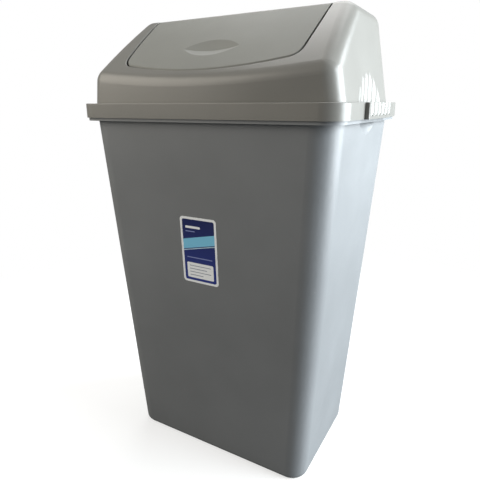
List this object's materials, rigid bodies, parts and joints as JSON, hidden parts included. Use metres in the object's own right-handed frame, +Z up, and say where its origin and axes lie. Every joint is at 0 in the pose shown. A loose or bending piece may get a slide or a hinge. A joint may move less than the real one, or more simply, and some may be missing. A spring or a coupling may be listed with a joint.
{
  "type": "swing-lid trash can",
  "caption": "Tall tapered plastic bin with hand scoops under a turned rim, a lift-off sloped hood, and a bent flap that swings both ways on stub pins.",
  "frame": {"origin": "middle of the footprint, on the floor the tub stands on", "axes": "+Z up; -Y is the front, which the sloping side of the hood and the label face; +X runs across the width, to the right of a person who faces the front"},
  "size_m": [0.4268, 0.2876, 0.6999],
  "materials": {
    "tub_plastic": "fine satin moulding, mid grey",
    "hood_plastic": "polished moulding, mid grey",
    "flap_plastic": "fine spark-eroded texture, mid grey",
    "label_film": "glossy printed sticker, navy with a white border"
  },
  "bodies": {
    "tub": {"tub": "tub_plastic", "front_label": "label_film"},
    "hood": {"lid_hood": "hood_plastic"},
    "flap": {"swing_flap": "flap_plastic"}
  },
  "joints": [
    {"name": "lid_lift", "type": "slide", "parent": "tub", "child": "hood", "axis": [0, 0, 1], "range_m": [0, 0.16]},
    {"name": "flap_swing", "type": "hinge", "parent": "hood", "child": "flap", "pos_m": [0, -0.02673, 0.6859], "axis": [1, 0, 0], "range_deg": [-80, 80]}
  ]
}
